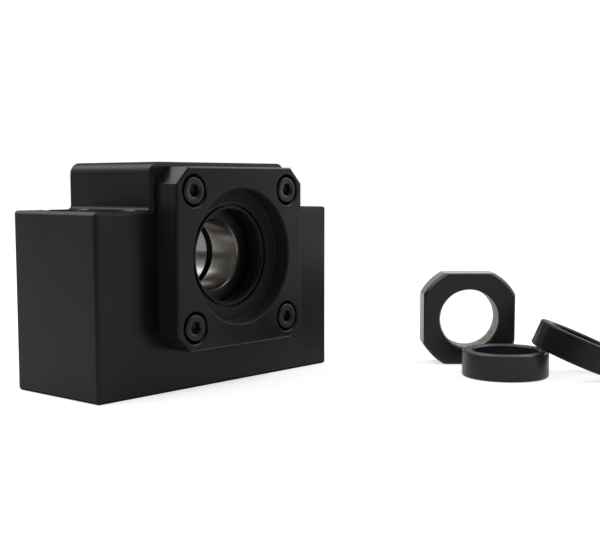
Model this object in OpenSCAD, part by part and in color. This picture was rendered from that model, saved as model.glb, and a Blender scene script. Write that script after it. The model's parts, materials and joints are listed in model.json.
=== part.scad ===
/* [Housing] */
// Width across both wings
wing_span = 70; // [67:0.5:90]
// Height of the wings above the base
wing_height = 38; // [30:0.5:42]
// Width of the raised tower
tower_width = 41; // [38.5:0.5:42]
// Height of the tower's top above the screw axis
tower_rise = 20; // [19.5:0.5:30]
// Height of the screw axis above the base
axis_height = 28; // [22:0.5:32]
// Thickness of the wall behind the bearings
rear_wall = 6; // [4:0.5:12]
// Radius along the tower's two top edges
tower_radius = 2.5; // [1:0.1:3]
// Fillet between a wing's top and the tower's side
corner_fillet = 1; // [0.5:0.1:3]
// Chamfer on the housing's outer edges
housing_chamfer = 0.6; // [0.3:0.1:0.9]

/* [Bolt holes in the wings] */
// Distance between the bolt holes across the block
bolt_span = 54; // [53:0.5:56]
// Distance between the bolt holes along the screw axis
bolt_pitch = 15; // [13:0.5:15.5]
// Diameter of the bolt holes
bolt_hole_d = 6.6; // [5.5:0.1:7]
// Diameter of the counterbores for the bolt heads
bolt_head_d = 11; // [9.5:0.1:11.2]
// Depth of the counterbores for the bolt heads
bolt_head_depth = 6.5; // [4:0.5:10]

/* [Bearings] */
// Outside diameter of a bearing
bearing_d = 32; // [31:0.5:33]
// Bore of a bearing, which is the shaft's diameter
shaft_d = 15; // [14:0.5:15.5]
// Width of one bearing
bearing_width = 9; // [8.5:0.5:11]
// Diameter of the balls
ball_d = 4.76; // [4:0.02:5]
// Number of balls in a bearing
ball_count = 11; // [7:1:11]
// Height of the shoulder that takes the thrust, above its groove
thrust_shoulder = 1; // [0.7:0.05:1.2]
// Height of the low shoulder on a ring's open side, above its groove
open_shoulder = 0.3; // [0.2:0.05:0.5]
// Chamfer on the rings' edges
ring_chamfer = 0.9; // [0.3:0.1:1]
// Chamfer at the outer ends of the bearings' bore
bore_chamfer = 0.4; // [0.2:0.1:0.6]
// Thickness of a cage
cage_wall = 1.7; // [1.2:0.1:1.7]
// Width of a cage
cage_width = 7.4; // [6.5:0.1:8]
// Gap between a ball and its grooves
running_gap = 0.05; // [0.03:0.01:0.08]
// Gap between a ball and its pocket
pocket_gap = 0.12; // [0.08:0.01:0.2]

/* [Holding lid] */
// Side of the square lid
lid_side = 38; // [37.5:0.5:40]
// Thickness of the lid
lid_thickness = 6; // [5:0.5:9]
// Leg of the cut at each corner of the lid
lid_corner = 3.5; // [2:0.5:3.5]
// Chamfer on the lid's front edges
lid_chamfer = 0.3; // [0.2:0.1:0.6]
// Diameter of the lid's round recess
recess_d = 28.8; // [26:0.1:30]
// Depth of the lid's round recess
recess_depth = 4; // [3:0.1:4]
// Fillet at the recess floor
recess_fillet = 0.3; // [0.2:0.1:1]
// Chamfer at the recess's rim
recess_chamfer = 0.3; // [0.1:0.1:0.5]
// Length of the spigot that holds the bearings
spigot_length = 3; // [2:0.5:5]
// Wall of the spigot
spigot_wall = 2; // [1.5:0.1:2.5]

/* [Lid screws] */
// Distance between neighbouring lid screws
screw_pitch = 28.2; // [28:0.1:29]
// Thread diameter of the lid screws
screw_d = 3; // [2.5:0.5:3]
// Length of the lid screws under the head
screw_length = 10; // [8:1:14]
// Head diameter of the lid screws
screw_head_d = 5.5; // [5:0.1:5.7]
// Head height of the lid screws
screw_head_height = 3; // [2:0.1:3]
// Width across the flats of the lid screws' sockets
screw_socket = 2.5; // [2:0.1:2.6]
// Diameter of the counterbores in the lid
screw_counterbore_d = 6.8; // [6:0.1:7]
// Chamfer at the counterbores' rims
counterbore_chamfer = 0.2; // [0.1:0.1:0.3]
// Depth of the lid screws' sockets
screw_socket_depth = 1.5; // [1:0.1:1.8]
// How far the screw heads sit below the lid's face
screw_head_below = 0; // [0:0.1:0.4]

/* [Seals] */
// Radial height of a seal
seal_height = 1.7; // [1.4:0.1:2.2]
// Width of a seal
seal_width = 3.8; // [2.5:0.1:4]
// How far the rear seal sits below the housing's rear face
rear_seal_below = 0.4; // [0.2:0.1:0.8]

/* [Collars] */
// Outside diameter of the collars
collar_d = 19.5; // [18:0.1:20.5]
// Length of a collar
collar_length = 5.9; // [4:0.1:7]
// Chamfer on the collars' edges
collar_chamfer = 0.3; // [0.2:0.1:0.6]
// Place of the flat collar, across the block
collar_x = 47.9; // [40:0.1:54]
// Place of the flat collar, in front of the block's middle
collar_y = -55.7; // [-80:0.1:-53]
// Tilt of the collar that leans on the flat one
lean_angle = 22.9; // [18:0.1:26]
// Direction in which the leaning collar slopes down
lean_direction = -53.5; // [-80:0.1:-10]

/* [Lock nut] */
// Width across the nut's flats
nut_flats = 22; // [21:0.5:23]
// Diameter over the nut's turned corners
nut_d = 25; // [24.5:0.5:28]
// Thickness of the nut
nut_thickness = 8; // [7:0.5:12]
// Thread diameter of the nut
nut_thread_d = 15; // [14:1:15]
// Thread pitch of the nut
nut_thread_pitch = 1; // [0.75:0.25:1.25]
// Chamfer on the nut's turned corners
nut_corner_chamfer = 0.7; // [0.3:0.1:1]
// Chamfer along the nut's flats
nut_edge_chamfer = 0.3; // [0.2:0.1:0.5]
// Place of the middle of the nut's front face, across the block
nut_x = 55.6; // [53:0.1:75]
// Place of the middle of the nut's front face, along the screw axis
nut_y = -41.2; // [-43:0.1:-20]
// Turn of the nut about the upright axis
nut_turn = -48; // [-60:1:-30]
// Diameter of the nut's set screw
set_screw_d = 4; // [3:0.5:4]
// Length of the nut's set screw
set_screw_length = 4; // [3:0.1:4.2]
// Width across the flats of the set screw's socket
set_screw_socket = 2; // [1.5:0.1:2]
// Thickness of the brass pad under the set screw
pad_thickness = 1.1; // [0.8:0.1:1.2]

/* [Fits] */
// Gap between a bearing and its seat in the housing
seat_gap = 0.02; // [0.01:0.01:0.05]
// Gap between a seal's lip and the collar that runs in it
lip_gap = 0.25; // [0.1:0.05:0.4]
// Gap between a seal and the bore that holds it
seal_gap = 0.04; // [0.02:0.01:0.08]
// Gap between a screw's thread and its tapped hole
thread_gap = 0.05; // [0.02:0.01:0.1]
// Gap between a screw's shank and its clearance hole
shank_gap = 0.2; // [0.1:0.05:0.3]
// Gap between the leaning collar and what it rests on
rest_gap = 0.05; // [0.02:0.01:0.1]

/* [Hidden] */
$fn = 96;
cut_over = 1;

// Stations along the screw axis, with the housing's middle at y = 0
block_depth = spigot_length + 2 * bearing_width + rear_wall;
front_y = -block_depth / 2;
rear_y = block_depth / 2;
lid_front_y = front_y - lid_thickness;
front_bearing_y = front_y + spigot_length;
rear_bearing_y = front_bearing_y + bearing_width;
seat_end_y = rear_bearing_y + bearing_width;
lip_y = lid_front_y + recess_depth;
web_end_y = lip_y + seal_width;
rear_seal_y = rear_y - seal_width - rear_seal_below;

tower_height = axis_height + tower_rise;
bearing_r = bearing_d / 2;
shaft_r = shaft_d / 2;
ball_r = ball_d / 2;
ball_circle_r = (bearing_r + shaft_r) / 2;
groove_r = ball_r + running_gap;
cage_lift = 0.05;
cage_r = ball_circle_r + cage_lift;
spigot_r = bearing_r - seat_gap;
seal_lip_d = collar_d + 2 * lip_gap;
seal_d = seal_lip_d + 2 * seal_height;
seal_rim_wall = 0.4;
seal_lip_wall = 0.6;
seal_groove_depth = 0.9;
seal_lip_ease = 0.25;
screw_r = screw_d / 2;
screw_drop = screw_head_height + screw_head_below;
tap_spare = 1;
tap_depth = screw_length + screw_drop - lid_thickness + tap_spare;
collar_foot_r = collar_d / 2 - collar_chamfer;
nut_bore_r = nut_thread_d / 2 - 0.5413 * nut_thread_pitch;
nut_bore_chamfer = 0.4;
pad_inset = 0.1;
set_screw_r = set_screw_d / 2;
grey_black = [0.13, 0.14, 0.14];
seal_black = [0.06, 0.06, 0.06];
ground_steel = [0.75, 0.74, 0.72];

// A rectangle centred on the origin, with its corners cut at 45 degrees
module eased_rect(w, h, c)
    polygon([[-w/2 + c, -h/2], [w/2 - c, -h/2], [w/2, -h/2 + c], [w/2, h/2 - c],
             [w/2 - c, h/2], [-w/2 + c, h/2], [-w/2, h/2 - c], [-w/2, -h/2 + c]]);

// A rod along Y, centred on the origin, with chamfered ends
module eased_rod(r, length, c)
    rotate([-90, 0, 0])
        rotate_extrude()
            polygon([[0, -length/2], [r - c, -length/2], [r, -length/2 + c],
                     [r, length/2 - c], [r - c, length/2], [0, length/2]]);

// A tube along Z from z = 0, with chamfered edges inside and outside
module eased_tube(outer_r, inner_r, length, outer_c, inner_c)
    rotate_extrude()
        polygon([[inner_r + inner_c, 0], [outer_r - outer_c, 0], [outer_r, outer_c],
                 [outer_r, length - outer_c], [outer_r - outer_c, length],
                 [inner_r + inner_c, length], [inner_r, length - inner_c], [inner_r, inner_c]]);

// Turns a profile of radius and station about the screw axis
module about_screw_axis()
    translate([0, 0, axis_height])
        rotate([-90, 0, 0])
            rotate_extrude()
                children();

// A rod on the screw axis, between two stations
module axis_rod(r, from_y, to_y)
    translate([0, from_y, axis_height])
        rotate([-90, 0, 0])
            cylinder(r = r, h = to_y - from_y);

// Puts its children at the four lid screws, with the screw's head plane at y = 0
module at_lid_screw(column, row)
    translate([column * screw_pitch/2, lid_front_y, axis_height + row * screw_pitch/2])
        children();

// A wing block with every edge chamfered
module wings() {
    c = housing_chamfer;
    intersection() {
        linear_extrude(wing_height) eased_rect(wing_span, block_depth, c);
        translate([0, 0, wing_height/2])
            rotate([90, 0, 0])
                linear_extrude(block_depth, center = true) eased_rect(wing_span, wing_height, c);
        translate([0, 0, wing_height/2])
            rotate([90, 0, 90])
                linear_extrude(wing_span, center = true) eased_rect(block_depth, wing_height, c);
    }
}

// The tower, with round top edges whose ends are chamfered like the rest
module tower() {
    c = housing_chamfer;
    round_z = tower_height - tower_radius;
    round_x = tower_width/2 - tower_radius;
    foot_z = housing_chamfer;
    translate([0, 0, foot_z])
        linear_extrude(round_z - foot_z) eased_rect(tower_width, block_depth, c);
    rotate([90, 0, 90])
        linear_extrude(2 * round_x, center = true)
            polygon([[-block_depth/2, foot_z], [block_depth/2, foot_z],
                     [block_depth/2, tower_height - c], [block_depth/2 - c, tower_height],
                     [-block_depth/2 + c, tower_height], [-block_depth/2, tower_height - c]]);
    for (side = [-1, 1])
        translate([side * round_x, 0, round_z])
            eased_rod(tower_radius, block_depth, c);
}

// The fillets between the wings' tops and the tower's sides
module corner_fillets()
    for (side = [-1, 1])
        translate([side * tower_width/2, 0, wing_height])
            rotate([90, 0, 0])
                linear_extrude(block_depth - 2 * housing_chamfer, center = true)
                    difference() {
                        translate([side > 0 ? 0 : -corner_fillet, 0]) square(corner_fillet);
                        translate([side * corner_fillet, corner_fillet]) circle(corner_fillet);
                    }

module bolt_holes()
    for (x = [-bolt_span/2, bolt_span/2], y = [-bolt_pitch/2, bolt_pitch/2]) {
        translate([x, y, -cut_over])
            cylinder(d = bolt_hole_d, h = wing_height + 2 * cut_over);
        translate([x, y, wing_height - bolt_head_depth])
            cylinder(d = bolt_head_d, h = bolt_head_depth + cut_over);
    }

module housing()
    color(grey_black)
        difference() {
            union() {
                wings();
                tower();
                corner_fillets();
            }
            axis_rod(bearing_r + seat_gap, front_y - cut_over, seat_end_y);
            axis_rod(seal_d/2, seat_end_y - cut_over, rear_y + cut_over);
            bolt_holes();
            for (column = [-1, 1], row = [-1, 1])
                at_lid_screw(column, row)
                    translate([0, lid_thickness - cut_over, 0])
                        rotate([-90, 0, 0])
                            cylinder(r = screw_r + thread_gap, h = tap_depth + cut_over);
        }

// A slab whose two front edges are chamfered, with its back face at y = 0
module lid_slab(width)
    linear_extrude(2 * lid_side, center = true)
        polygon([[-width/2, 0], [width/2, 0], [width/2, lid_chamfer - lid_thickness],
                 [width/2 - lid_chamfer, -lid_thickness], [lid_chamfer - width/2, -lid_thickness],
                 [-width/2, lid_chamfer - lid_thickness]]);

// The lid's plate: four slabs, turned by 45 degrees, leave the cut corners
module lid_plate()
    translate([0, front_y, axis_height])
        intersection_for (turn = [0 : 45 : 135])
            rotate([0, turn, 0])
                lid_slab(turn % 90 == 0 ? lid_side : (lid_side - lid_corner) * sqrt(2));

// The lid's recess, with a chamfered rim and a fillet at its floor
module recess_cut()
    about_screw_axis() {
        difference() {
            translate([0, lid_front_y - cut_over]) square([recess_d/2, recess_depth + cut_over]);
            difference() {
                translate([recess_d/2 - recess_fillet, lip_y - recess_fillet])
                    square([recess_fillet + cut_over, recess_fillet + cut_over]);
                translate([recess_d/2 - recess_fillet, lip_y - recess_fillet]) circle(recess_fillet);
            }
        }
        rim_cone(recess_d/2, recess_chamfer, lid_front_y);
    }

// The section of a cone that chamfers a hole's rim, for a face at the given station
module rim_cone(r, c, face_y)
    polygon([[0, face_y - cut_over], [r + c + cut_over, face_y - cut_over], [r, face_y + c],
             [0, face_y + c]]);

module holding_lid()
    color(grey_black)
        difference() {
            union() {
                lid_plate();
                axis_rod(spigot_r, front_y - cut_over/2, front_bearing_y);
            }
            recess_cut();
            axis_rod(seal_d/2, lid_front_y, front_bearing_y);
            axis_rod(spigot_r - spigot_wall, web_end_y, front_bearing_y + cut_over);
            for (column = [-1, 1], row = [-1, 1])
                at_lid_screw(column, row) {
                    translate([0, -cut_over, 0])
                        rotate([-90, 0, 0])
                            cylinder(d = screw_counterbore_d, h = screw_drop + cut_over);
                    rotate([-90, 0, 0])
                        rotate_extrude() rim_cone(screw_counterbore_d/2, counterbore_chamfer, 0);
                    rotate([-90, 0, 0])
                        cylinder(r = screw_r + shank_gap, h = lid_thickness + cut_over);
                }
        }

// A socket-head screw along Y, with its head's face at y = 0
module socket_screw() {
    head_r = screw_head_d / 2;
    head_chamfer = 0.3;
    tip = screw_head_height + screw_length;
    tip_chamfer = 0.4;
    color(grey_black)
        rotate([-90, 0, 0])
            difference() {
                rotate_extrude()
                    polygon([[0, 0], [head_r - head_chamfer, 0], [head_r, head_chamfer],
                             [head_r, screw_head_height], [screw_r, screw_head_height],
                             [screw_r, tip - tip_chamfer], [screw_r - tip_chamfer, tip], [0, tip]]);
                translate([0, 0, -cut_over])
                    linear_extrude(screw_socket_depth + cut_over)
                        rotate(30) circle(d = screw_socket / cos(30), $fn = 6);
            }
}

module lid_screw(column, row)
    at_lid_screw(column, row)
        translate([0, screw_head_below, 0])
            socket_screw();

module lid_screw_top_left() lid_screw(-1, 1);
module lid_screw_top_right() lid_screw(1, 1);
module lid_screw_bottom_left() lid_screw(-1, -1);
module lid_screw_bottom_right() lid_screw(1, -1);

// A seal ring: rim, grooved web and a lip that runs on the collar
module seal(from_y, face)
    color(seal_black)
        translate([0, from_y, 0])
            about_screw_axis() {
                rim_r = seal_d/2 - seal_gap;
                lip_r = seal_lip_d/2;
                back_r = lip_r + seal_lip_ease;
                groove_out = rim_r - seal_rim_wall;
                groove_in = lip_r + seal_lip_wall;
                mid = seal_width/2;
                translate([0, mid])
                    mirror([0, face > 0 ? 1 : 0])
                        polygon([[rim_r, -mid], [rim_r, mid], [groove_in, mid], [back_r, mid - seal_lip_ease],
                                 [back_r, 0], [lip_r, 2 * seal_lip_ease - mid], [back_r, -mid],
                                 [groove_in, -mid], [groove_in, seal_groove_depth - mid],
                                 [groove_out, seal_groove_depth - mid], [groove_out, -mid]]);
            }

module front_seal() seal(lip_y, -1);
module rear_seal() seal(rear_seal_y, 1);

// The section of an outer ring, whose open side faces larger stations
module outer_ring_section() {
    c = ring_chamfer;
    groove_floor = ball_circle_r + ball_r;
    difference() {
        polygon([[groove_floor - thrust_shoulder, 0], [bearing_r - c, 0], [bearing_r, c],
                 [bearing_r, bearing_width - c], [bearing_r - c, bearing_width],
                 [groove_floor - open_shoulder, bearing_width],
                 [groove_floor - thrust_shoulder, bearing_width/2]]);
        translate([ball_circle_r, bearing_width/2]) circle(groove_r);
    }
}

// The section of an inner ring, whose open side faces smaller stations
module inner_ring_section() {
    c = ring_chamfer;
    e = bore_chamfer;
    groove_floor = ball_circle_r - ball_r;
    difference() {
        polygon([[shaft_r + c, 0], [groove_floor + open_shoulder, 0],
                 [groove_floor + thrust_shoulder, bearing_width/2],
                 [groove_floor + thrust_shoulder, bearing_width], [shaft_r + e, bearing_width],
                 [shaft_r, bearing_width - e], [shaft_r, c]]);
        translate([ball_circle_r, bearing_width/2]) circle(groove_r);
    }
}

// Sets a ring's section at its bearing; the front bearing is the rear one's mirror image
module bearing_ring(front)
    color(ground_steel)
        about_screw_axis()
            translate([0, rear_bearing_y])
                mirror([0, front ? 1 : 0])
                    children();

module front_outer_ring() bearing_ring(true) outer_ring_section();
module rear_outer_ring() bearing_ring(false) outer_ring_section();
module front_inner_ring() bearing_ring(true) inner_ring_section();
module rear_inner_ring() bearing_ring(false) inner_ring_section();

// Puts its children at each ball of a bearing, with X pointing away from the screw axis
module at_balls(from_y)
    for (i = [0 : ball_count - 1])
        translate([0, from_y + bearing_width/2, axis_height])
            rotate([0, 360 * i / ball_count, 0])
                children();

// A cage: a band between the rings with a round pocket for each ball
module cage(from_y)
    color(seal_black)
        difference() {
            about_screw_axis()
                translate([cage_r - cage_wall/2, from_y + (bearing_width - cage_width)/2])
                    square([cage_wall, cage_width]);
            at_balls(from_y)
                rotate([0, 90, 0])
                    translate([0, 0, cage_r - cage_wall/2 - cut_over])
                        cylinder(r = ball_r + pocket_gap, h = cage_wall + 2 * cut_over);
        }

module balls(from_y)
    color([0.85, 0.85, 0.86])
        at_balls(from_y)
            translate([ball_circle_r, 0, 0])
                sphere(ball_r);

module front_cage() cage(front_bearing_y);
module rear_cage() cage(rear_bearing_y);
module front_balls() balls(front_bearing_y);
module rear_balls() balls(rear_bearing_y);

// Stands the nut on a flat: its axis is local Y, its front face at y = 0
module at_nut()
    translate([nut_x, nut_y, nut_flats/2])
        rotate([0, 0, nut_turn])
            children();

// Points local Z from the nut's axis towards its lower corner
module at_nut_corner()
    translate([0, nut_thickness/2, 0])
        rotate([0, 135, 0])
            children();

module lock_nut()
    color(grey_black)
        at_nut()
            difference() {
                translate([0, nut_thickness/2, 0])
                    intersection() {
                        eased_rod(nut_d/2, nut_thickness, nut_corner_chamfer);
                        nut_square();
                    }
                rotate([-90, 0, 0])
                    rotate_extrude()
                        polygon([[0, -cut_over], [nut_bore_r + nut_bore_chamfer + cut_over, -cut_over],
                                 [nut_bore_r, nut_bore_chamfer],
                                 [nut_bore_r, nut_thickness - nut_bore_chamfer],
                                 [nut_bore_r + nut_bore_chamfer + cut_over, nut_thickness + cut_over],
                                 [0, nut_thickness + cut_over]]);
                at_nut_corner()
                    cylinder(r = set_screw_r + thread_gap, h = nut_d);
            }

// The square of the nut's four flats, with chamfered edges
module nut_square()
    intersection_for (turn = [0, 90])
        rotate([0, turn, 0])
            linear_extrude(nut_d, center = true)
                eased_rect(nut_flats, nut_thickness, nut_edge_chamfer);

module nut_pad()
    color([0.75, 0.6, 0.25])
        at_nut()
            at_nut_corner()
                translate([0, 0, nut_bore_r + pad_inset])
                    cylinder(d = set_screw_d, h = pad_thickness);

// A headless screw from z = 0, with eased ends and a socket in its outer end
module nut_set_screw() {
    end_ease = 0.3;
    color(grey_black)
        at_nut()
            at_nut_corner()
                translate([0, 0, nut_bore_r + pad_inset + pad_thickness])
                    difference() {
                        rotate_extrude()
                            polygon([[0, 0], [set_screw_r - end_ease, 0], [set_screw_r, end_ease],
                                     [set_screw_r, set_screw_length - end_ease],
                                     [set_screw_r - end_ease, set_screw_length], [0, set_screw_length]]);
                        translate([0, 0, set_screw_length/2])
                            linear_extrude(set_screw_length)
                                circle(d = set_screw_socket / cos(30), $fn = 6);
                    }
}

module collar()
    color(grey_black)
        eased_tube(collar_d/2, shaft_r, collar_length, collar_chamfer, collar_chamfer);

module flat_collar()
    translate([collar_x, collar_y, 0])
        collar();

// The second collar rests on the ground and on the flat collar's upper edge. At its tilt, its foot
// stands off from that edge by the height over the tilt's tangent, less its own radius in plan.
module leaning_collar() {
    stand_off = collar_foot_r + collar_length / tan(lean_angle) - collar_foot_r * cos(lean_angle);
    translate([collar_x, collar_y, 0])
        rotate([0, 0, lean_direction])
            translate([stand_off, 0, collar_foot_r * sin(lean_angle) + rest_gap])
                rotate([0, lean_angle, 0])
                    collar();
}

housing();
holding_lid();
lid_screw_top_left();
lid_screw_top_right();
lid_screw_bottom_left();
lid_screw_bottom_right();
front_seal();
rear_seal();
front_outer_ring();
front_inner_ring();
front_cage();
front_balls();
rear_outer_ring();
rear_inner_ring();
rear_cage();
rear_balls();
lock_nut();
nut_set_screw();
nut_pad();
flat_collar();
leaning_collar();
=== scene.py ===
import json
import math

import bmesh
import bpy
import numpy as np
from mathutils import Matrix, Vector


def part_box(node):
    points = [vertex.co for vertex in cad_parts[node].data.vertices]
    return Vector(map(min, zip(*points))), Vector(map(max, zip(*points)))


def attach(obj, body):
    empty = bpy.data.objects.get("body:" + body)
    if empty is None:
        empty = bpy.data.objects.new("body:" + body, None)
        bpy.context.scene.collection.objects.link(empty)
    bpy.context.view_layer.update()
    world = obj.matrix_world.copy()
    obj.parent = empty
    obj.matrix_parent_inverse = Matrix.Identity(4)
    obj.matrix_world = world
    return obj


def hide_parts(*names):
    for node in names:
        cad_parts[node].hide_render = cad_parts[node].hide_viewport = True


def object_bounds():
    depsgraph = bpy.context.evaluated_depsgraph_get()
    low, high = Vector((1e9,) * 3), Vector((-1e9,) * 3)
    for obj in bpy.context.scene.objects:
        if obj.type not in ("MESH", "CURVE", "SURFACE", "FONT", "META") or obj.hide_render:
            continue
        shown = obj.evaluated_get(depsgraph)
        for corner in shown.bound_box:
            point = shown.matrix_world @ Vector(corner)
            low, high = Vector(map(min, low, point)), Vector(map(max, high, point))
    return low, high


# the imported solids: each gets a finish below, and the screws and the nut get finer pieces instead
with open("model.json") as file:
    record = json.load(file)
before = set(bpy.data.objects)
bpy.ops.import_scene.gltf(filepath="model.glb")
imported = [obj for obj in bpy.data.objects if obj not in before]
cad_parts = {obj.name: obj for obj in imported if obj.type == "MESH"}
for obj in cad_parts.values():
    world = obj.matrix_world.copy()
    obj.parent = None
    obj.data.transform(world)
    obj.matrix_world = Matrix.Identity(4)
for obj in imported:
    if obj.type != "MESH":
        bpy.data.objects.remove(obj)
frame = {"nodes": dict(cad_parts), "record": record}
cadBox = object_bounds()
nodes = frame["nodes"]
mounts = {mount["name"]: mount for mount in frame["record"]["mounts"]}


# middle of a node's box
def middle(name):
    low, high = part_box(name)
    return tuple((low + high) / 2)


screwAxis = (0, 0, middle("front_inner_ring")[2])
alongScrew = (math.pi / 2, 0, 0)  # turns a pattern's Z along the screw
print("frame loaded")


# sets a value on an input, or links another node's output to it
def feed(tree, socket, value):
    if isinstance(value, bpy.types.NodeSocket):
        tree.links.new(value, socket)
    else:
        socket.default_value = value


# adds one node with its settings and inputs, and gives it back
def addNode(tree, kind, inputs=None, **settings):
    node = tree.nodes.new(kind)
    for name, value in settings.items():
        setattr(node, name, value)
    for name, value in (inputs or {}).items():
        feed(tree, node.inputs[name], value)
    return node


# one sum on numbers: its result's socket
def maths(tree, operation, a, b=0.0, c=0.0, clamp=False):
    node = addNode(tree, "ShaderNodeMath", {0: a, 1: b}, operation=operation, use_clamp=clamp)
    if operation == "MULTIPLY_ADD":
        feed(tree, node.inputs[2], c)
    return node.outputs[0]


# one sum on vectors: its vector, or its number for a dot product or a length
def vectorMaths(tree, operation, a, b=(0, 0, 0)):
    node = addNode(tree, "ShaderNodeVectorMath", {0: a}, operation=operation)
    if operation not in ("LENGTH", "ABSOLUTE"):
        feed(tree, node.inputs[1], b)
    return node.outputs["Value" if operation in ("DOT_PRODUCT", "LENGTH") else "Vector"]


# the three numbers of a vector, by the labels X, Y and Z
def partsOf(tree, vector):
    return addNode(tree, "ShaderNodeSeparateXYZ", {0: vector}).outputs


# a number carried from a span to a low and a high value, and held beyond the span's ends
def rangeOf(tree, value, span, low=0.0, high=1.0, shape="LINEAR"):
    node = addNode(tree, "ShaderNodeMapRange",
                   {"Value": value, "From Min": span[0], "From Max": span[1],
                    "To Min": low, "To Max": high}, interpolation_type=shape)
    return node.outputs["Result"]


# two colours mixed by a factor
def mixColour(tree, factor, a, b):
    return addNode(tree, "ShaderNodeMix", {0: factor, 6: a, 7: b}, data_type="RGBA").outputs[2]


# two numbers mixed by a factor
def mixNumber(tree, factor, a, b):
    return addNode(tree, "ShaderNodeMix", {0: factor, 2: a, 3: b}, data_type="FLOAT").outputs[0]


# noise of one scale, as a number from 0 to 1
def noiseOf(tree, vector, scale, detail=3.0, roughness=0.55, dimensions="3D"):
    node = addNode(tree, "ShaderNodeTexNoise",
                   {"Vector": vector, "Scale": scale, "Detail": detail, "Roughness": roughness},
                   noise_dimensions=dimensions)
    return node.outputs["Fac"]


# starts a shader group with its named inputs and outputs
def startGroup(name, inputs, outputs):
    group = bpy.data.node_groups.new(name, "ShaderNodeTree")
    for label, kind, value in inputs:
        socket = group.interface.new_socket(label, in_out="INPUT", socket_type=kind)
        if value is not None:
            socket.default_value = value
    for label, kind in outputs:
        group.interface.new_socket(label, in_out="OUTPUT", socket_type=kind)
    given = group.nodes.new("NodeGroupInput").outputs
    result = group.nodes.new("NodeGroupOutput").inputs
    return group, given, result


# places a shader group in a material
def placeGroup(tree, group, **inputs):
    node = tree.nodes.new("ShaderNodeGroup")
    node.node_tree = group
    for label, value in inputs.items():
        feed(tree, node.inputs[label], value)
    return node.outputs


edgeLook = {
    "samples": 6,
    "bend": (0.01, 0.22),
    "patches": (0.3, 0.65),
    "leastWear": 0.15,
}


# Edge wear: one less the dot product of the rounded normal and the real one, broken up by noise
def makeEdgeWear():
    group, given, result = startGroup(
        "edgeWear",
        [("Vector", "NodeSocketVector", None), ("Width", "NodeSocketFloat", 0.0003),
         ("Patch", "NodeSocketFloat", 250.0)],
        [("Mask", "NodeSocketFloat"), ("Normal", "NodeSocketVector")])
    rounded = addNode(group, "ShaderNodeBevel", {"Radius": given["Width"]},
                      samples=edgeLook["samples"]).outputs[0]
    plain = addNode(group, "ShaderNodeNewGeometry").outputs["Normal"]
    bend = maths(group, "SUBTRACT", 1.0, vectorMaths(group, "DOT_PRODUCT", rounded, plain))
    edge = rangeOf(group, bend, edgeLook["bend"], shape="SMOOTHSTEP")
    patch = rangeOf(group, noiseOf(group, given["Vector"], given["Patch"]),
                    edgeLook["patches"], edgeLook["leastWear"], 1.0)
    feed(group, result["Mask"], maths(group, "MULTIPLY", edge, patch, clamp=True))
    feed(group, result["Normal"], rounded)
    return group


toneLook = {
    "cloudDetail": 4.0,
    "clouds": (0.3, 0.7),
    "grainScale": 4200.0,
    "grainDetail": 2.0,
    "spotScale": 420.0,
    "spotReach": (0.03, 0.09),
    "spotPatchScale": 190.0,
    "spotPatchDetail": 1.0,
    "spotPatches": (0.64, 0.7),
}


# Surface tone: slow clouds, fine grain, and small spots at the middles of the cells in some patches
def makeSurfaceTone():
    group, given, result = startGroup(
        "surfaceTone", [("Vector", "NodeSocketVector", None), ("Cloud", "NodeSocketFloat", 60.0)],
        [("Cloud", "NodeSocketFloat"), ("Grain", "NodeSocketFloat"), ("Spots", "NodeSocketFloat")])
    place = given["Vector"]
    cloud = noiseOf(group, place, given["Cloud"], toneLook["cloudDetail"])
    feed(group, result["Cloud"], rangeOf(group, cloud, toneLook["clouds"]))
    feed(group, result["Grain"],
         noiseOf(group, place, toneLook["grainScale"], toneLook["grainDetail"]))
    cells = addNode(group, "ShaderNodeTexVoronoi",
                    {"Vector": place, "Scale": toneLook["spotScale"]})
    spot = rangeOf(group, cells.outputs["Distance"], toneLook["spotReach"], 1.0, 0.0)
    patch = noiseOf(group, place, toneLook["spotPatchScale"], toneLook["spotPatchDetail"])
    feed(group, result["Spots"],
         maths(group, "MULTIPLY", spot, rangeOf(group, patch, toneLook["spotPatches"])))
    return group


groundLook = {
    "stretch": 0.02,
    "sideways": (0.6, 0.8),
}


# Ground lines: noise drawn out along X, or along Y on faces that look along X
def makeGroundLines():
    group, given, result = startGroup(
        "groundLines", [("Vector", "NodeSocketVector", None), ("Pitch", "NodeSocketFloat", 3500.0)],
        [("Height", "NodeSocketFloat")])
    stretch = groundLook["stretch"]
    alongX = vectorMaths(group, "MULTIPLY", given["Vector"], (stretch, 1, 1))
    alongY = vectorMaths(group, "MULTIPLY", given["Vector"], (1, stretch, 1))
    facing = addNode(group, "ShaderNodeNewGeometry").outputs["True Normal"]
    across = maths(group, "ABSOLUTE", partsOf(group, facing)["X"])
    feed(group, result["Height"],
         mixNumber(group, rangeOf(group, across, groundLook["sideways"]),
                   noiseOf(group, alongX, given["Pitch"]), noiseOf(group, alongY, given["Pitch"])))
    return group


# Turned rings: noise of the distance from Z and of the height along it
def makeTurnedRings():
    group, given, result = startGroup(
        "turnedRings", [("Vector", "NodeSocketVector", None), ("Pitch", "NodeSocketFloat", 4000.0)],
        [("Height", "NodeSocketFloat"), ("Radius", "NodeSocketFloat")])
    flat = vectorMaths(group, "MULTIPLY", given["Vector"], (1, 1, 0))
    radius = vectorMaths(group, "LENGTH", flat)
    height = partsOf(group, given["Vector"])["Z"]
    pair = addNode(group, "ShaderNodeCombineXYZ", {"X": radius, "Y": height}).outputs[0]
    feed(group, result["Height"],
         noiseOf(group, pair, given["Pitch"], roughness=0.6, dimensions="2D"))
    feed(group, result["Radius"], radius)
    return group


edgeWear = makeEdgeWear()
surfaceTone = makeSurfaceTone()
groundLines = makeGroundLines()
turnedRings = makeTurnedRings()


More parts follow.
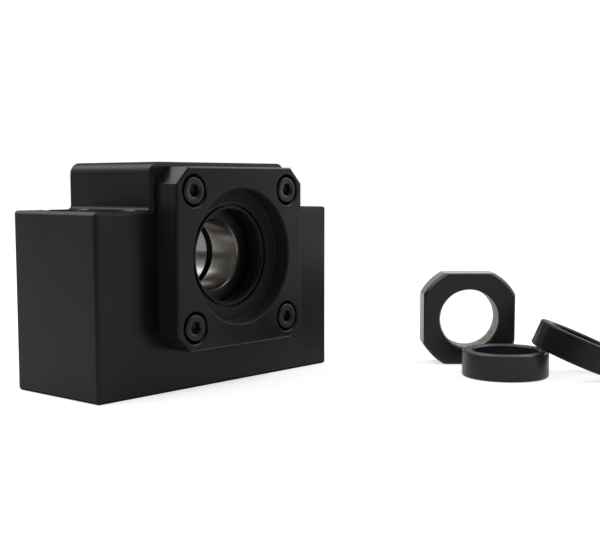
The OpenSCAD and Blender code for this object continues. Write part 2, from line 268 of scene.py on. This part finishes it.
# empties a material's or a world's nodes, and gives back its tree and its output's input
def startTree(owner, kind="ShaderNodeOutputMaterial"):
    owner.use_nodes = True
    tree = owner.node_tree
    tree.nodes.clear()
    return tree, tree.nodes.new(kind).inputs["Surface"]


# starts a material and gives back its tree, its shader and its object coordinates
def startMaterial(name, metallic=0.0, specular=0.5, tint=(1, 1, 1, 1)):
    material = bpy.data.materials.new(name)
    tree, surface = startTree(material)
    shader = addNode(tree, "ShaderNodeBsdfPrincipled",
                     {"Metallic": metallic, "Specular IOR Level": specular, "Specular Tint": tint})
    feed(tree, surface, shader.outputs[0])
    place = addNode(tree, "ShaderNodeTexCoord").outputs["Object"]
    return material, tree, shader, place


# bends a shader's normal by a height, times the distance that a height of one stands for
def addBump(tree, shader, height, distance, normal=None):
    bump = addNode(tree, "ShaderNodeBump",
                   {"Height": height, "Distance": distance, "Strength": 1.0})
    if normal is not None:
        feed(tree, bump.inputs["Normal"], normal)
    feed(tree, shader.inputs["Normal"], bump.outputs[0])


# coordinates whose origin is the centre and whose Z is the axis of a round piece
def centred(tree, place, centre, turn):
    return addNode(tree, "ShaderNodeMapping",
                   {"Vector": place, "Location": centre, "Rotation": turn},
                   vector_type="TEXTURE").outputs[0]


# the turn that carries Z to a direction, for a Mapping node
def turnTo(direction):
    x, y, z = direction
    return (0, math.atan2(math.hypot(x, y), z), math.atan2(y, x))


# puts one material in every slot of a node
def dress(name, material):
    for slot in nodes[name].material_slots:
        slot.material = material


oxide = {
    "colour": (0.0026, 0.0034, 0.0032, 1),
    "clouded": (0.0082, 0.0095, 0.0091, 1),
    "rubbedAndHighlight": (0.060, 0.061, 0.059, 1),
    "specular": 0.19,
    "tint": (0.91, 1.0, 0.96, 1),
    "spots": 0.8,
    "edgeWidth": 0.00028,
    "edgeWear": 0.4,
    "roughness": 0.19,
    "cloudRoughness": 0.07,
    "grainRoughness": 0.05,
    "lineHeight": 0.000004,
    "grainShare": 0.4,  # the grain's height beside that of the tool marks
    "turnedReach": 1.0,  # from the axis, here past the whole piece
    "turnedSeam": 0.0001,
    "turnedColour": (0.0085, 0.0098, 0.0094, 1),
    "turnedRoughness": 0.40,
    "topRoughness": 0.0,
    "topCoarseness": 0.0,  # how much higher the marks stand on upward faces
    "undersideRoughness": 0.0,
    "frontEdgeRoughness": 0.0,
    "deepLightening": None,
    "cutCornerHighlights": None,
    "boltRimGlints": None,
    "thread": None,
}
# the spans of a normal's Z, and of the product of two of its parts
faceSpans = {
    "up": (0.75, 0.9),
    "down": (-0.5, -0.3),
    "slant": (-0.48, -0.4),
}


# 1 on a face that slants by 45 degrees, up and to the negative side of the other axis or down and
# to its positive side. The product of the two parts of its normal is minus a half there.
def slantMask(tree, part, upPart):
    product = maths(tree, "MULTIPLY", part, upPart)
    return rangeOf(tree, product, faceSpans["slant"], 1.0, 0.0)


# painted highlight on the cut corners: the slants of X, times patches of noise, in front of a depth
def cornerHighlightMask(tree, place, sides, values):
    patch = rangeOf(tree, noiseOf(tree, place, values["patchScale"]),
                    values["patches"], values["leastPatch"], 1.0)
    front = rangeOf(tree, partsOf(tree, place)["Y"], values["depth"], values["strength"], 0.0)
    corner = maths(tree, "MULTIPLY", slantMask(tree, sides["X"], sides["Z"]), patch)
    return maths(tree, "MULTIPLY", corner, front)


# painted glints on the rims of the bolt holes: a thin ring where the distance from a hole's middle is
# the rim's radius, on upward faces, and only near the ring's two ends along X, where the light
# catches them
def rimGlintMask(tree, place, sides, values):
    across = vectorMaths(tree, "SUBTRACT", vectorMaths(tree, "ABSOLUTE", place), values["middle"])
    across = vectorMaths(tree, "MULTIPLY", across, (1, 1, 0))
    off = maths(tree, "SUBTRACT", vectorMaths(tree, "LENGTH", across), values["radius"])
    width = values["width"]
    glint = rangeOf(tree, maths(tree, "ABSOLUTE", off), (0.5 * width, width), 1.0, 0.0)
    aside = rangeOf(tree, maths(tree, "ABSOLUTE", partsOf(tree, across)["X"]), values["aside"])
    glint = maths(tree, "MULTIPLY", glint, aside)
    return maths(tree, "MULTIPLY", glint, rangeOf(tree, sides["Z"], values["up"]))


# a thread's own faces: inside a radius, and within a reach of the piece's middle along its axis
def threadMask(tree, own, radius, values):
    inside = rangeOf(tree, radius, values["radius"], 1.0, 0.0)
    along = maths(tree, "ABSOLUTE", partsOf(tree, own)["Z"])
    return maths(tree, "MULTIPLY", inside, rangeOf(tree, along, values["reach"], 1.0, 0.0))


# Black oxide on steel: near black with clouds, tool marks and thinly rubbed edges. Within its
# turned reach of the axis the marks run round it, and the tone is the turned one. It can also carry
# painted light: lighter deep faces, highlights on cut corners, glints on bolt rims, and a light grey
# thread that stands for a mirrored backdrop.
def blackOxide(name, values, centre=screwAxis, turn=alongScrew):
    material, tree, shader, place = startMaterial(name, specular=values["specular"],
                                                  tint=values["tint"])
    tone = placeGroup(tree, surfaceTone, Vector=place)
    wear = placeGroup(tree, edgeWear, Vector=place, Width=values["edgeWidth"])
    own = centred(tree, place, centre, turn)
    turned = placeGroup(tree, turnedRings, Vector=own)
    ground = placeGroup(tree, groundLines, Vector=place)
    sides = partsOf(tree, addNode(tree, "ShaderNodeNewGeometry").outputs["True Normal"])
    seam = (values["turnedReach"], values["turnedReach"] + values["turnedSeam"])
    isTurned = rangeOf(tree, turned["Radius"], seam, 1.0, 0.0)
    notTurned = maths(tree, "SUBTRACT", 1.0, isTurned)

    base = mixColour(tree, tone["Cloud"], values["colour"], values["clouded"])
    base = mixColour(tree, maths(tree, "MULTIPLY", tone["Spots"], values["spots"]), base,
                     values["rubbedAndHighlight"])
    base = mixColour(tree, isTurned, base, values["turnedColour"])
    wornAndHighlit = maths(tree, "MULTIPLY", wear["Mask"],
                 maths(tree, "MULTIPLY", notTurned, values["edgeWear"]))
    # painted light: faces deeper than a depth get a lighter colour, which lifts the shade in hollows
    if values["deepLightening"]:
        deepLit = rangeOf(tree, partsOf(tree, place)["Y"], values["deepLightening"]["depth"])
        base = mixColour(tree, deepLit, base, values["deepLightening"]["colour"])
    # painted highlight on the cut corners, added to the rubbed edges
    if values["cutCornerHighlights"]:
        corner = cornerHighlightMask(tree, place, sides, values["cutCornerHighlights"])
        wornAndHighlit = maths(tree, "MAXIMUM", wornAndHighlit, maths(tree, "MULTIPLY", corner, notTurned))
    # painted glints: a bright colour on the rims of the bolt holes
    if values["boltRimGlints"]:
        glint = rimGlintMask(tree, place, sides, values["boltRimGlints"])
        base = mixColour(tree, glint, base, values["boltRimGlints"]["colour"])
    base = mixColour(tree, wornAndHighlit, base, values["rubbedAndHighlight"])
    # painted reflection: the thread's faces get a light grey that stands for the bright backdrop
    # mirrored in the bore
    if values["thread"]:
        thread = threadMask(tree, own, turned["Radius"], values["thread"])
        base = mixColour(tree, thread, base, values["thread"]["colour"])
    feed(tree, shader.inputs["Base Color"], base)

    upward = rangeOf(tree, sides["Z"], faceSpans["up"])
    shares = {
        "cloudRoughness": tone["Cloud"],
        "grainRoughness": tone["Grain"],
        "turnedRoughness": isTurned,
        "topRoughness": upward,
        "undersideRoughness": rangeOf(tree, sides["Z"], faceSpans["down"], 1.0, 0.0),
        "frontEdgeRoughness": slantMask(tree, sides["Y"], sides["Z"]),
    }
    rough = values["roughness"]
    for share, mask in shares.items():
        rough = maths(tree, "MULTIPLY_ADD", mask, values[share], rough)
    feed(tree, shader.inputs["Roughness"], rough)

    marks = mixNumber(tree, isTurned, ground["Height"], turned["Height"])
    height = maths(tree, "MULTIPLY_ADD", tone["Grain"], values["grainShare"], marks)
    coarser = maths(tree, "MULTIPLY_ADD", upward, values["topCoarseness"], 1.0)
    addBump(tree, shader, maths(tree, "MULTIPLY", height, coarser), values["lineHeight"],
            wear["Normal"])
    return material


# Ground bearing steel: bright metal with fine lines round its axis. It is darker where the two
# rings meet, within a reach of the pattern's middle plane, and on the faces beyond a radius it
# carries painted shade, where the seal's shadow and dark reflection fall.
def groundSteel(name, values, centre):
    material, tree, shader, place = startMaterial(name, metallic=1.0)
    own = centred(tree, place, centre, alongScrew)
    tone = placeGroup(tree, surfaceTone, Vector=place, Cloud=values["cloudScale"])
    wear = placeGroup(tree, edgeWear, Vector=place, Width=values["edgeWidth"])
    rings = placeGroup(tree, turnedRings, Vector=own, Pitch=values["linePitch"])
    base = mixColour(tree, tone["Cloud"], values["colour"], values["clouded"])
    along = maths(tree, "ABSOLUTE", partsOf(tree, own)["Z"])
    joint = rangeOf(tree, along, values["jointSpan"], 1.0, 0.0)
    # painted shade on the faces beyond a radius
    face = rangeOf(tree, rings["Radius"], values["faceSpan"], 0.0, values["faceShade"])
    darkening = maths(tree, "MAXIMUM", joint, face)
    feed(tree, shader.inputs["Base Color"], mixColour(tree, darkening, base, values["darkTone"]))
    rough = maths(tree, "MULTIPLY_ADD", rings["Height"], values["lineRoughness"],
                  values["roughness"])
    feed(tree, shader.inputs["Roughness"],
         maths(tree, "MULTIPLY_ADD", darkening, values["darkRoughness"], rough))
    addBump(tree, shader, rings["Height"], values["lineHeight"], wear["Normal"])
    return material


# A plain finish: two tones mixed by slow clouds, with a fine grain in its gloss and its height
def plainFinish(name, values):
    material, tree, shader, place = startMaterial(name, values["metallic"], values["specular"])
    tone = placeGroup(tree, surfaceTone, Vector=place, Cloud=values["cloudScale"])
    feed(tree, shader.inputs["Base Color"],
         mixColour(tree, tone["Cloud"], values["colour"], values["clouded"]))
    feed(tree, shader.inputs["Roughness"],
         maths(tree, "MULTIPLY_ADD", tone["Grain"], values["grainRoughness"], values["roughness"]))
    if values["grainHeight"]:
        addBump(tree, shader, tone["Grain"], values["grainHeight"])
    return material


# a triangle wave of the given turns: 1 on whole numbers and 0 halfway between
def wave(turns):
    return np.abs(2 * (turns - np.floor(turns)) - 1)


threadShape = {
    "steepness": 1.25,
    "flatCrest": 0.125,
}


# how deep a thread is cut, from 0 on its crest to 1 at its root. Its phase is the height over the
# pitch less the angle over a whole turn, which makes it right-handed.
def threadCut(angle, height, pitch):
    phase = height / pitch - angle / (2 * np.pi)
    return np.clip(threadShape["steepness"] * (1 - wave(phase)) - threadShape["flatCrest"], 0, 1)


# A closed skin about Z. A point lies at (radius x cosine, radius x sine, height), each row is one
# loop, and one point closes each end. Rows that go up the outside give faces that look outwards.
def turnedSkin(radius, height, ends):
    rows, columns = radius.shape
    angle = np.arange(columns) * 2 * np.pi / columns
    points = np.stack([radius * np.cos(angle), radius * np.sin(angle), height], -1).reshape(-1, 3)
    points = np.vstack([points, [[0, 0, ends[0]], [0, 0, ends[1]]]])
    here = np.arange(rows * columns).reshape(rows, columns)
    beside = np.roll(here, -1, axis=1)
    quads = np.stack([here[:-1], beside[:-1], beside[1:], here[1:]], -1).reshape(-1, 4)
    pole = np.full(columns, rows * columns)
    fans = np.vstack([np.stack([pole, beside[0], here[0]], -1),
                      np.stack([pole + 1, here[-1], beside[-1]], -1)])
    return points, quads.tolist() + fans.tolist()


# carries points to the world: the origin plus each number times its own direction, with Z along
# the given direction and X the part of the second one that is square to it
def carried(points, origin, along, side):
    z = np.array(along) / np.linalg.norm(along)
    x = np.array(side) - np.dot(side, z) * z
    x = x / np.linalg.norm(x)
    return np.array(origin) + points @ np.stack([x, np.cross(z, x), z])


# shades a mesh smooth, but for the edges whose faces turn by more than an angle in degrees
def shadeSmooth(mesh, sharpAngle):
    mesh.polygons.foreach_set("use_smooth", np.ones(len(mesh.polygons), bool))
    mesh.set_sharp_from_angle(angle=math.radians(sharpAngle))


# makes an object at the origin from points and faces
def makePiece(name, points, faces, material=None, sharpAngle=32):
    mesh = bpy.data.meshes.new(name)
    mesh.from_pydata(points.tolist(), [], faces)
    shadeSmooth(mesh, sharpAngle)
    if material:
        mesh.materials.append(material)
    piece = bpy.data.objects.new(name, mesh)
    bpy.context.scene.collection.objects.link(piece)
    return piece


boltSpacing = mounts["bolt_holes"]["dims"]
halfMillimetre = 0.0005  # carries a spacing in millimetres to half of it in metres
housingOxide = dict(
    oxide, roughness=0.25, edgeWidth=0.00045, turnedReach=0.0125, turnedRoughness=0.0,
    turnedColour=(0.0050, 0.0060, 0.0057, 1), topRoughness=0.7, topCoarseness=7.0,
    undersideRoughness=0.6, frontEdgeRoughness=0.5,
    # painted glints on the rims of the bolt holes, bright only at the ends along X
    boltRimGlints={
        "middle": (halfMillimetre * boltSpacing["spacing_x_mm"],
                   halfMillimetre * boltSpacing["spacing_y_mm"], 0),
        "radius": 0.0057,
        "width": 0.0004,
        "aside": (0.0052, 0.0055),
        "up": (0.4, 0.6),
        "colour": (0.32, 0.32, 0.31, 1),
    })
dress("housing", blackOxide("housingOxide", housingOxide))

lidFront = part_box("holding_lid")[0].y
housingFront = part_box("housing")[0].y
lidOxide = dict(
    # the lighter rubbed colour here also paints the highlight on the cut corners
    oxide, specular=0.165, rubbedAndHighlight=(0.12, 0.12, 0.117, 1), turnedReach=0.0147,
    # painted light: faces deeper than the lid's front are lighter, lifting the shade in the recess
    # and the counterbores
    deepLightening={
        "depth": (lidFront + 0.0004, lidFront + 0.0008),
        "colour": (0.0130, 0.0148, 0.0141, 1),
    },
    # painted highlight on the upper left and lower right cut corners; the part near the housing stays
    # dark
    cutCornerHighlights={
        "strength": 0.5,
        "patchScale": 130.0,
        "patches": (0.3, 0.7),
        "leastPatch": 0.4,
        "depth": (housingFront - 0.0026, housingFront - 0.0018),
    })
dress("holding_lid", blackOxide("lidOxide", lidOxide))
print("block dressed")


screwOxide = dict(
    oxide, roughness=0.26, specular=0.22, colour=(0.0085, 0.0097, 0.0092, 1),
    clouded=(0.0095, 0.0108, 0.0102, 1), turnedColour=(0.0095, 0.0108, 0.0102, 1),
    turnedRoughness=0.0)
lidScrew = {
    "columns": 180,
    "length": 0.013,
    "headRadius": 0.00275,
    "headHeight": 0.003,
    "headRound": 0.00028,
    "roundRows": 5,
    "chamfer": 0.0002,  # the size of every small step and slope
    "teeth": 45,
    "toothDepth": 0.00006,
    "socketReach": 0.00125,
    "socketDepth": 0.0015,
    "mouthRadius": 0.00152,
    "mouthSlope": 0.6,
    "neck": 0.93,  # of the thread's radius, just under the head
    "threadRadius": 0.0015,
    "threadDepth": 0.0003,
    "threadPitch": 0.0005,
    "threadRows": 6,  # for each pitch
    "runOut": 0.6,  # the even cut that the thread fades into at its end
    "tip": 1.3,  # of the thread's depth, off the tip's radius
}
setScrew = dict(
    lidScrew, columns=120, length=0.004, headRadius=0.002, headHeight=0.0, headRound=0.0003,
    socketReach=0.001, socketDepth=0.0018, mouthRadius=0.00122, threadRadius=0.002,
    threadDepth=0.0004, threadPitch=0.0007)


# A socket screw's skin, from the middle of its socket over the face and down to its tip. The
# socket's radius is its reach over the cosine of the angle from the nearest flat's middle, the
# knurl is a triangle wave round the head, and the shank's radius is the thread's less its cut.
def screwSkin(values):
    angle = np.arange(values["columns"]) * 2 * np.pi / values["columns"]
    whole = np.ones_like(angle)
    six = values["socketReach"] / np.cos((angle + np.pi / 6) % (np.pi / 3) - np.pi / 6)
    head, ease, chamfer = values["headRadius"], values["headRound"], values["chamfer"]
    depth, mouth, length = values["socketDepth"], values["mouthRadius"], values["length"]
    shank, threadDepth = values["threadRadius"], values["threadDepth"]
    rows = [(0.5 * six, (depth + chamfer) * whole), (six, depth * whole),
            (six, values["mouthSlope"] * (mouth - six)), (mouth * whole, 0 * whole)]
    for turn in np.linspace(0, np.pi / 2, values["roundRows"]):
        rows.append(((head - ease + ease * np.sin(turn)) * whole, ease * (1 - np.cos(turn)) * whole))
    start = ease
    if values["headHeight"]:
        under = values["headHeight"]
        knurl = head - values["toothDepth"] * wave(values["teeth"] * angle / (2 * np.pi))
        rows += [(knurl, (ease + 0.5 * chamfer) * whole), (knurl, (under - 1.5 * chamfer) * whole),
                 (head * whole, (under - chamfer) * whole), ((head - chamfer) * whole, under * whole),
                 ((shank + 0.5 * chamfer) * whole, under * whole),
                 (values["neck"] * shank * whole, (under + chamfer) * whole)]
        start = under + 1.5 * chamfer
    end = length - 2 * chamfer
    steps = int(round((end - start) / values["threadPitch"] * values["threadRows"]))
    for height in np.linspace(start, end, steps):
        fade = min(1, (length - height) / (3 * chamfer))
        cut = threadCut(angle, height, values["threadPitch"]) * fade + values["runOut"] * (1 - fade)
        rows.append((shank - threadDepth * cut, height * whole))
    rows.append(((shank - values["tip"] * threadDepth) * whole, length * whole))
    radius, height = (np.array([row[i] for row in rows]) for i in (0, 1))
    return turnedSkin(radius, height, (depth + 2 * chamfer, length))


screwNames = ["lid_screw_top_left", "lid_screw_top_right", "lid_screw_bottom_left",
              "lid_screw_bottom_right"]
firstTurn = 0.4  # radians that the first screw's socket is turned by, and each next one by 1 more
points, faces = screwSkin(lidScrew)
for turn, name in enumerate(screwNames):
    centre = middle(name)
    oxideOfScrew = blackOxide(name + "_oxide", screwOxide, centre)
    dress(name, oxideOfScrew)
    side = (math.cos(firstTurn + turn), 0, math.sin(firstTurn + turn))
    face = (centre[0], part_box(name)[0].y, centre[2])
    screw = makePiece(name + "_detailed", carried(points, face, (0, 1, 0), side), faces, oxideOfScrew)
    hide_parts(name)
    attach(screw, "block")
print("lid screws made")


looseOxide = dict(
    oxide, roughness=0.24, specular=0.32, colour=(0.0085, 0.0096, 0.0093, 1),
    clouded=(0.0105, 0.0117, 0.0113, 1), turnedColour=(0.0125, 0.0137, 0.0133, 1),
    turnedRoughness=0.0)
lockNut = {
    "body": "block",
    "crestRadius": 0.00694,
    "rootRadius": 0.0075,
    "pitch": 0.001,
    "reach": 0.0048,  # of the plug to each side, past the nut's faces
    "columns": 144,
    "rowsPerTurn": 10,
    "mergeReach": 0.000001,
    "sharpAngle": 25,
}
nutAxis = np.array(mounts["nut_thread"]["axis"])
up = np.array([0, 0, 1])


# The lock nut: a copy of its plain solid, less a threaded plug. The plug's radius goes from crest
# to root by the thread's cut.
def makeLockNut(values, material):
    rows = int(2 * values["reach"] / values["pitch"] * values["rowsPerTurn"])
    height = np.linspace(-values["reach"], values["reach"], rows)[:, None]
    angle = np.arange(values["columns"])[None, :] * 2 * np.pi / values["columns"]
    cut = threadCut(angle, height, values["pitch"])
    radius = values["crestRadius"] + (values["rootRadius"] - values["crestRadius"]) * cut
    points, faces = turnedSkin(radius, height + 0 * angle, (-values["reach"], values["reach"]))
    plug = makePiece("threadPlug", carried(points, middle("lock_nut"), nutAxis, up), faces)
    mesh = nodes["lock_nut"].data.copy()
    shape = bmesh.new()
    shape.from_mesh(mesh)
    bmesh.ops.remove_doubles(shape, verts=shape.verts, dist=values["mergeReach"])
    shape.to_mesh(mesh)
    shape.free()
    for label in ("custom_normal", "sharp_edge", "sharp_face"):
        if label in mesh.attributes:
            mesh.attributes.remove(mesh.attributes[label])
    nut = bpy.data.objects.new("lock_nut_threaded", mesh)
    bpy.context.scene.collection.objects.link(nut)
    cutting = nut.modifiers.new("thread", "BOOLEAN")
    cutting.operation = "DIFFERENCE"
    cutting.solver = "EXACT"
    cutting.object = plug
    made = bpy.data.meshes.new_from_object(nut.evaluated_get(bpy.context.evaluated_depsgraph_get()))
    nut.modifiers.clear()
    nut.data = made
    bpy.data.objects.remove(plug)
    bpy.data.meshes.remove(mesh)
    made.name = "lock_nut_threaded"
    made.materials.clear()
    made.materials.append(material)
    shadeSmooth(made, values["sharpAngle"])
    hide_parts("lock_nut")
    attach(nut, values["body"])
    return nut


boreEdge = lockNut["rootRadius"] + 0.00005  # just outside the thread's root, where black begins
# the nut's thread is painted light grey, a painted reflection of the bright backdrop in its bore
nutOxide = blackOxide(
    "nutOxide",
    dict(looseOxide, thread={
        "radius": (boreEdge, boreEdge + 0.00005),
        "reach": (0.0035, 0.0037),
        "colour": (0.60, 0.60, 0.585, 1),
    }),
    middle("lock_nut"), turnTo(nutAxis))
dress("lock_nut", nutOxide)
nutPiece = makeLockNut(lockNut, nutOxide)
print("lock nut made:", len(nutPiece.data.polygons), "faces")


# the set screw looks out through the nut's lower corner: square to the nut's axis, 45 degrees down
outward = (np.cross(nutAxis, up) - up) * math.sqrt(0.5)
setScrewOxide = blackOxide("setScrewOxide", screwOxide, middle("nut_set_screw"), turnTo(outward))
dress("nut_set_screw", setScrewOxide)
points, faces = screwSkin(setScrew)
outerEnd = np.array(middle("nut_set_screw")) + outward * setScrew["length"] / 2
screw = makePiece("nut_set_screw_detailed", carried(points, outerEnd, -outward, nutAxis), faces,
                  setScrewOxide)
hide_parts("nut_set_screw")
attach(screw, "block")
print("set screw made")


padBrass = {
    "metallic": 1.0,
    "specular": 0.5,
    "colour": (0.20, 0.14, 0.05, 1),
    "clouded": (0.14, 0.10, 0.04, 1),
    "cloudScale": 500.0,
    "roughness": 0.4,
    "grainRoughness": 0.2,
    "grainHeight": 0.000006,
}
dress("nut_pad", plainFinish("padBrass", padBrass))

flatOxide = dict(looseOxide, topRoughness=0.35, topCoarseness=7.0)
dress("flat_collar", blackOxide("flatCollarOxide", flatOxide, middle("flat_collar"), (0, 0, 0)))
leaningOxide = dict(
    flatOxide, specular=0.19, colour=(0.0060, 0.0068, 0.0066, 1),
    clouded=(0.0075, 0.0084, 0.0081, 1), turnedColour=(0.0068, 0.0076, 0.0073, 1))
dress("leaning_collar", blackOxide("leaningCollarOxide", leaningOxide, middle("leaning_collar"),
                                   turnTo(mounts["leaning_collar_bore"]["axis"])))
print("loose pieces dressed")


sealRubber = {
    "metallic": 0.0,
    "specular": 0.20,
    "colour": (0.0045, 0.0048, 0.0048, 1),
    "clouded": (0.009, 0.0093, 0.0092, 1),
    "cloudScale": 220.0,
    "roughness": 0.34,
    "grainRoughness": 0.2,
    "grainHeight": 0.00001,
}
cagePlastic = {
    "metallic": 0.0,
    "specular": 0.45,
    "colour": (0.010, 0.009, 0.008, 1),
    "clouded": (0.018, 0.016, 0.014, 1),
    "cloudScale": 300.0,
    "roughness": 0.4,
    "grainRoughness": 0.15,
    "grainHeight": 0.000008,
}
ballSteel = {
    "metallic": 1.0,
    "specular": 0.5,
    "colour": (0.60, 0.60, 0.61, 1),
    "clouded": (0.55, 0.55, 0.56, 1),
    "cloudScale": 400.0,
    "roughness": 0.05,
    "grainRoughness": 0.03,
    "grainHeight": 0.0,
}
ringSteel = {
    "colour": (0.24, 0.228, 0.216, 1),
    "clouded": (0.192, 0.1824, 0.1728, 1),
    "cloudScale": 160.0,
    # the dark tone: darker where the rings meet, and painted shade on the inner ring's faces
    "darkTone": (0.014, 0.015, 0.0135, 1),
    "jointSpan": (0.0009, 0.0010),
    "faceSpan": (0.0076, 0.007752),
    "faceShade": 0.85,
    "edgeWidth": 0.00012,
    "roughness": 0.15,
    "lineRoughness": 0.10,
    "darkRoughness": 0.35,
    "linePitch": 6500.0,
    "lineHeight": 0.000012,
}
outerSteel = dict(ringSteel, roughness=0.2, faceShade=0.0)
jointMiddle = (0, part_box("rear_inner_ring")[0].y, screwAxis[2])
bearingFinishes = {
    "_seal": plainFinish("sealRubber", sealRubber),
    "_inner_ring": groundSteel("ringSteel", ringSteel, jointMiddle),
    "_outer_ring": groundSteel("outerRingSteel", outerSteel, jointMiddle),
    "_balls": plainFinish("ballSteel", ballSteel),
    "_cage": plainFinish("cagePlastic", cagePlastic),
}
for end in ("front", "rear"):
    for part, material in bearingFinishes.items():
        dress(end + part, material)
print("bearings dressed")


studio = {
    "floor": {
        "reach": 3.0,
        "gap": 0.00003,
        "colour": (0.82, 0.82, 0.82, 1),
        "seen": 0.62,
        "mirrored": 0.31,
        "glowSpan": (-0.15, 0.25),
        "glow": (0.7, 1.9),
    },
    "world": {
        "skyLight": 0.48,
        "darkSide": (-0.766, -0.643, -0.45),
        "darkSpan": (-0.22, 0.03),
        "brightLevel": 1.38,
        "darkLevel": 0.13,
        "zones": {
            "Z": {"span": (0.35, 0.70), "level": 2.0, "shape": "SMOOTHSTEP"},
            "X": {"span": (0.68, 0.78), "level": 1.32, "shape": "LINEAR"},
            "Y": {"span": (0.3, 0.75), "level": 0.56, "shape": "LINEAR"},
        },
    },
    "key": {"place": (-0.30, 0.45, 0.75), "size": 0.6, "watts": 3.0},
    "fill": {"place": (0.45, -0.35, 0.65), "size": 0.5, "watts": 1.5},
}


# 1 where something is looked at, by the camera or through glass, and 0 on all other rays
def lookedAt(tree, path):
    return maths(tree, "MAXIMUM", path["Is Camera Ray"], path["Is Transmission Ray"])


# the world: white where it is looked at. In mirrors it goes from bright to dark towards the dark
# side, times a level that each zone goes to over its span of one axis.
def makeWorld(values):
    world = bpy.data.worlds.new("studioWorld")
    tree, surface = startTree(world, "ShaderNodeOutputWorld")
    direction = addNode(tree, "ShaderNodeTexCoord").outputs["Generated"]
    towards = vectorMaths(tree, "DOT_PRODUCT", direction, values["darkSide"])
    mirrored = rangeOf(tree, towards, values["darkSpan"], values["brightLevel"],
                       values["darkLevel"], "SMOOTHSTEP")
    parts = partsOf(tree, direction)
    for label, zone in values["zones"].items():
        level = rangeOf(tree, parts[label], zone["span"], 1.0, zone["level"], zone["shape"])
        mirrored = maths(tree, "MULTIPLY", mirrored, level)
    path = addNode(tree, "ShaderNodeLightPath").outputs
    strength = mixNumber(tree, path["Is Glossy Ray"], values["skyLight"], mirrored)
    strength = mixNumber(tree, lookedAt(tree, path), strength, 1.0)
    light = addNode(tree, "ShaderNodeBackground", {"Color": (1, 1, 1, 1), "Strength": strength})
    feed(tree, surface, light.outputs[0])
    world.cycles.sampling_method = "NONE"
    bpy.context.scene.world = world


# the floor: a flat pale square just under the base, whose glow keeps it white while shadows still
# show. The glow that mirrors see grows from left to right.
def makeFloor(values):
    reach, low = values["reach"], -values["gap"]
    corners = [(-reach, -reach, low), (reach, -reach, low), (reach, reach, low),
               (-reach, reach, low)]
    mesh = bpy.data.meshes.new("floor")
    mesh.from_pydata(corners, [], [(0, 1, 2, 3)])
    floor = bpy.data.objects.new("floor", mesh)
    bpy.context.scene.collection.objects.link(floor)
    material = bpy.data.materials.new("floorPale")
    tree, surface = startTree(material)
    path = addNode(tree, "ShaderNodeLightPath").outputs
    seen = maths(tree, "MULTIPLY", lookedAt(tree, path), values["seen"])
    place = addNode(tree, "ShaderNodeTexCoord").outputs["Object"]
    lit = rangeOf(tree, partsOf(tree, place)["X"], values["glowSpan"], *values["glow"])
    lit = maths(tree, "MULTIPLY", lit, values["mirrored"])
    glow = maths(tree, "MULTIPLY_ADD", path["Is Glossy Ray"], lit, seen)
    paper = addNode(tree, "ShaderNodeBsdfDiffuse", {"Color": values["colour"]})
    shine = addNode(tree, "ShaderNodeEmission", {"Color": (1, 1, 1, 1), "Strength": glow})
    both = addNode(tree, "ShaderNodeAddShader", {0: paper.outputs[0], 1: shine.outputs[0]})
    feed(tree, surface, both.outputs[0])
    mesh.materials.append(material)


# a soft square lamp that looks at the part
def makeLamp(name, values):
    lamp = bpy.data.lights.new(name, "AREA")
    lamp.shape = "SQUARE"
    lamp.size = values["size"]
    lamp.energy = values["watts"]
    piece = bpy.data.objects.new(name, lamp)
    piece.location = values["place"]
    away = piece.location - (cadBox[0] + cadBox[1]) / 2
    piece.rotation_euler = away.to_track_quat("Z", "Y").to_euler()
    bpy.context.scene.collection.objects.link(piece)


cameraView = {
    "place": (-0.17120, -0.18464, 0.04374),
    "turn": 48.762,
    "down": 5.855,
    "roll": -0.106,
    "lens": 66.68,
    "sensor": 36,
    "shift": (0.0062, 0.0489),
    "nearest": 0.005,
}


# the camera: turned by its heading, then its tilt, then its roll about its own line of sight
def makeCamera(values):
    camera = bpy.data.cameras.new("camera")
    camera.sensor_width = values["sensor"]
    camera.lens = values["lens"]
    camera.shift_x, camera.shift_y = values["shift"]
    camera.clip_start = values["nearest"]
    piece = bpy.data.objects.new("camera", camera)
    piece.location = values["place"]
    heading = Matrix.Rotation(-math.radians(values["turn"]), 3, "Z")
    tilt = Matrix.Rotation(math.radians(90 - values["down"]), 3, "X")
    roll = Matrix.Rotation(math.radians(values["roll"]), 3, "Z")
    piece.rotation_euler = (heading @ tilt @ roll).to_euler()
    bpy.context.scene.collection.objects.link(piece)
    bpy.context.scene.camera = piece


makeWorld(studio["world"])
makeFloor(studio["floor"])
makeLamp("keyLamp", studio["key"])
makeLamp("fillLamp", studio["fill"])
makeCamera(cameraView)
bpy.context.scene.view_settings.view_transform = "Standard"
print("studio made")
